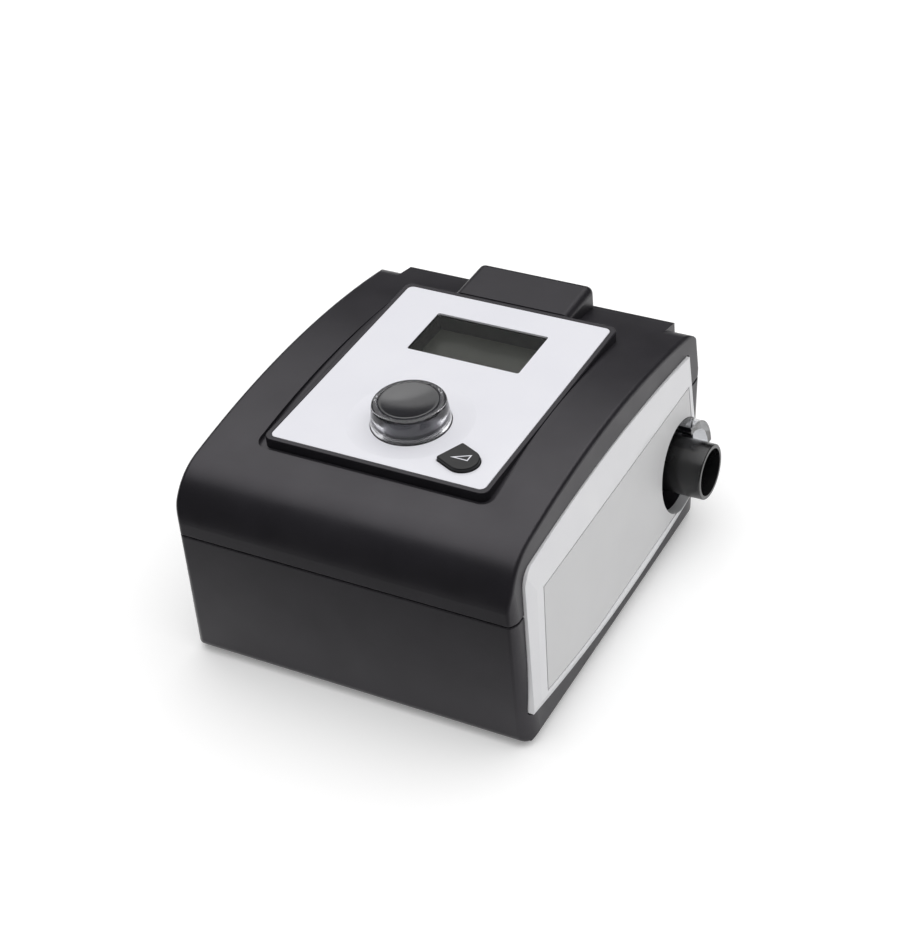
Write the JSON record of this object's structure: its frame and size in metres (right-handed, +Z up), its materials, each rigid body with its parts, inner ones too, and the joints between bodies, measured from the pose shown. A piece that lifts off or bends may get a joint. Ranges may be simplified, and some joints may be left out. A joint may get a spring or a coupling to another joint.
{
  "type": "cpap machine",
  "caption": "Bedside positive-airway-pressure machine with a domed casing, display panel, control wheel, ramp button, side cover and a hose outlet on the right.",
  "frame": {"origin": "under the middle of the whole machine, outlet included, on the surface its feet stand on", "axes": "+X to the machine's right, out of the hose outlet; +Y to its rear; +Z up"},
  "size_m": [0.1551, 0.162, 0.0959],
  "materials": {
    "charcoal_plastic": "satin moulded ABS",
    "black_plastic": "satin moulded plastic",
    "overlay_white": "smooth printed polycarbonate",
    "cover_silver": "light silver-grey satin plastic",
    "label_grey": "plain pressed label plate",
    "clear_acrylic": "clear moulded acrylic",
    "lcd_grey": "unlit liquid crystal display",
    "board_green": "printed circuit board",
    "component_black": "moulded component bodies",
    "capacitor_blue": "sleeved capacitors",
    "connector_white": "natural nylon",
    "steel": "bright steel",
    "brass_pin": "plated contact",
    "housing_grey": "grey moulded housings",
    "impeller_white": "white moulded impeller",
    "motor_metal": "turned can",
    "winding_copper": "enamelled windings on a core",
    "magnet_dark": "sintered magnet",
    "black_rubber": "soft moulded rubber",
    "grey_silicone": "soft silicone",
    "grey_foam": "open-cell foam",
    "white_filter": "pleated filter medium"
  },
  "bodies": {
    "casing": {"bottom_case": "charcoal_plastic", "top_cover": "charcoal_plastic", "rear_panel": "charcoal_plastic", "overlay_plate": "overlay_white", "display_window": "clear_acrylic", "display_shroud": "black_plastic", "display_module": "lcd_grey", "upper_board": "board_green", "upper_board_screws": "steel", "wheel_encoder": "component_black", "ramp_switch": "component_black", "outlet_port": "black_plastic", "outlet_seal": "grey_silicone", "blower_volute_lower": "housing_grey", "blower_volute_upper": "housing_grey", "outlet_coupling": "grey_silicone", "motor_can": "motor_metal", "motor_bearing_lower": "steel", "motor_bearing_upper": "steel", "motor_stator": "winding_copper", "blower_mounts": "black_rubber", "intake_muffler": "housing_grey", "intake_muffler_lid": "housing_grey", "intake_foam": "grey_foam", "filter_box": "housing_grey", "fine_filter": "white_filter", "foam_filter": "grey_foam", "accessory_blank": "charcoal_plastic", "card_socket": "steel", "power_jack": "black_plastic", "power_jack_pin": "brass_pin", "main_board": "board_green", "main_board_screws": "steel", "main_capacitors": "capacitor_blue", "main_chip": "component_black", "main_connectors": "connector_white", "pressure_sensor": "connector_white", "pressure_tube": "grey_silicone", "casing_screws": "steel", "foot_front_left": "black_rubber", "foot_front_right": "black_rubber", "foot_rear_left": "black_rubber", "foot_rear_right": "black_rubber"},
    "wheel_press": {"wheel_spindle": "steel"},
    "wheel": {"wheel_ring": "clear_acrylic", "wheel_core": "charcoal_plastic", "wheel_shaft": "black_plastic"},
    "ramp_press": {"ramp_button": "black_plastic", "ramp_plunger": "connector_white"},
    "cover": {"side_cover": "cover_silver", "side_label": "label_grey"},
    "tab": {"release_tab": "clear_acrylic"},
    "rotor": {"motor_shaft": "steel", "motor_magnet": "magnet_dark", "impeller": "impeller_white"},
    "card": {"memory_card": "component_black"},
    "cap": {"filter_cap": "charcoal_plastic"}
  },
  "joints": [
    {"name": "wheel_push", "type": "slide", "parent": "casing", "child": "wheel_press", "axis": [0, 0, -1], "range_m": [0, 0.0006], "stiffness_N_per_m": 1500, "springref_m": -0.0004},
    {"name": "wheel_turn", "type": "hinge", "parent": "wheel_press", "child": "wheel", "pos_m": [-0.00615, -0.0225, 0.0865], "axis": [0, 0, 1], "continuous": true},
    {"name": "ramp_push", "type": "slide", "parent": "casing", "child": "ramp_press", "axis": [0, 0, -1], "range_m": [0, 0.001], "stiffness_N_per_m": 700, "springref_m": -0.0005},
    {"name": "side_cover_pull", "type": "slide", "parent": "casing", "child": "cover", "axis": [1, 0, 0], "range_m": [0, 0.03]},
    {"name": "release_tab_push", "type": "slide", "parent": "casing", "child": "tab", "axis": [-1, 0, 0], "range_m": [0, 0.002], "stiffness_N_per_m": 500, "springref_m": -0.001},
    {"name": "rotor_turn", "type": "hinge", "parent": "casing", "child": "rotor", "pos_m": [-0.02015, 0.0276, 0.03], "axis": [0, 0, 1], "continuous": true},
    {"name": "card_pull", "type": "slide", "parent": "casing", "child": "card", "axis": [0, 1, 0], "range_m": [0, 0.024]},
    {"name": "filter_cap_turn", "type": "hinge", "parent": "casing", "child": "cap", "pos_m": [-0.02615, 0.0798, 0.0481], "axis": [-1, 0, 0], "range_deg": [0, 80]}
  ]
}
